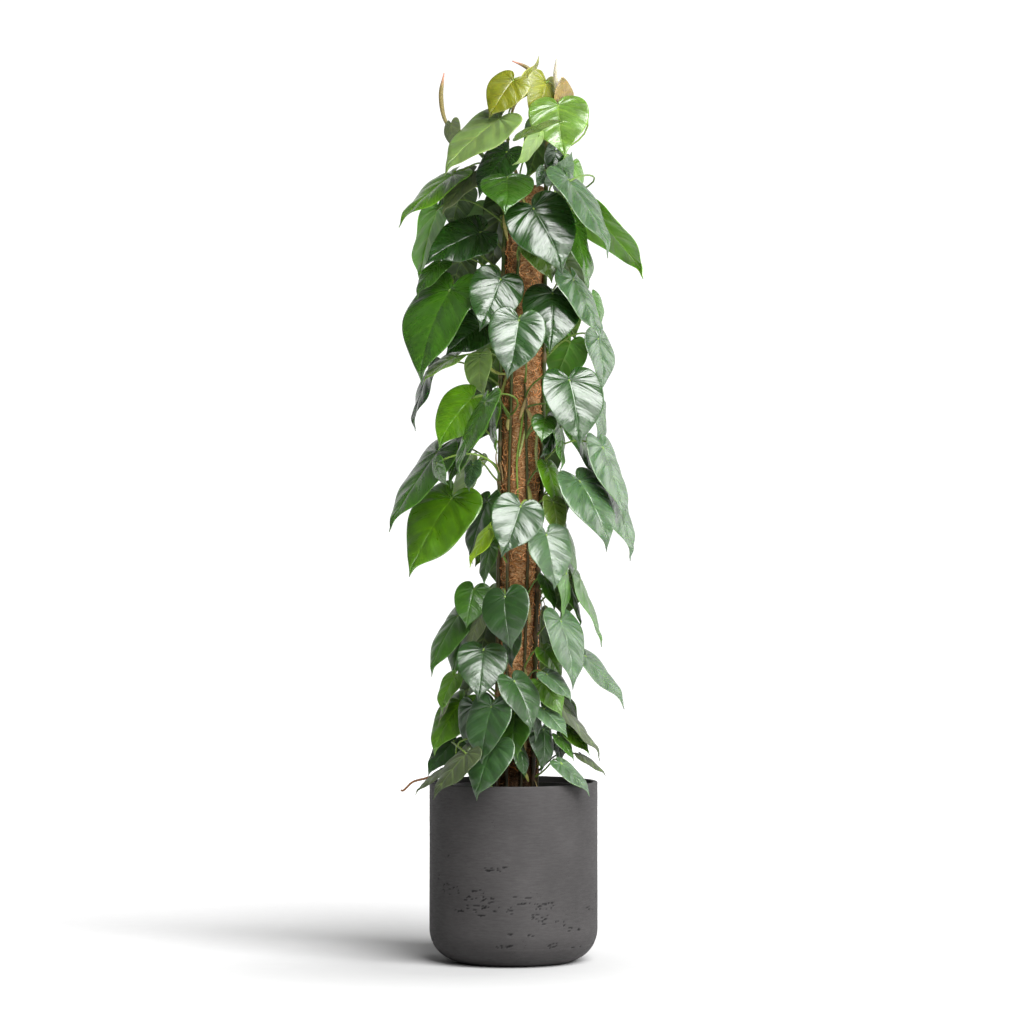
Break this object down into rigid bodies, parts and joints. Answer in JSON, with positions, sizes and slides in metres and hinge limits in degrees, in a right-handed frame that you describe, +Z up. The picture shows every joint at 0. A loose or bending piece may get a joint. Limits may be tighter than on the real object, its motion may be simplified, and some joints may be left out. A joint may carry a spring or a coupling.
{
  "type": "potted heartleaf philodendron",
  "caption": "Heartleaf philodendron vines climbing a coir pole, in a black nursery pot inside a round-footed charcoal planter that stands on a flat base.",
  "frame": {"origin": "the centre of the planter's flat underside, on the surface that it stands on", "axes": "+Z up along the planter's axis, the front of the plant faces -Y, +X is to the viewer's right"},
  "size_m": [0.4276, 0.3833, 1.494],
  "materials": {
    "planter_concrete": "matte",
    "nursery_plastic": "satin",
    "potting_soil": "matte",
    "pole_wood": "matte",
    "coir_fibre": "matte",
    "plant_tissue": "satin"
  },
  "bodies": {
    "root": {"planter": "planter_concrete", "nursery_pot": "nursery_plastic", "potting_soil": "potting_soil", "pole_core": "pole_wood", "coir_sleeve": "coir_fibre", "vine_left": "plant_tissue", "vine_front_left": "plant_tissue", "vine_front": "plant_tissue", "vine_right": "plant_tissue", "vine_back_right": "plant_tissue", "vine_back": "plant_tissue", "vine_back_left": "plant_tissue"}
  },
  "joints": []
}
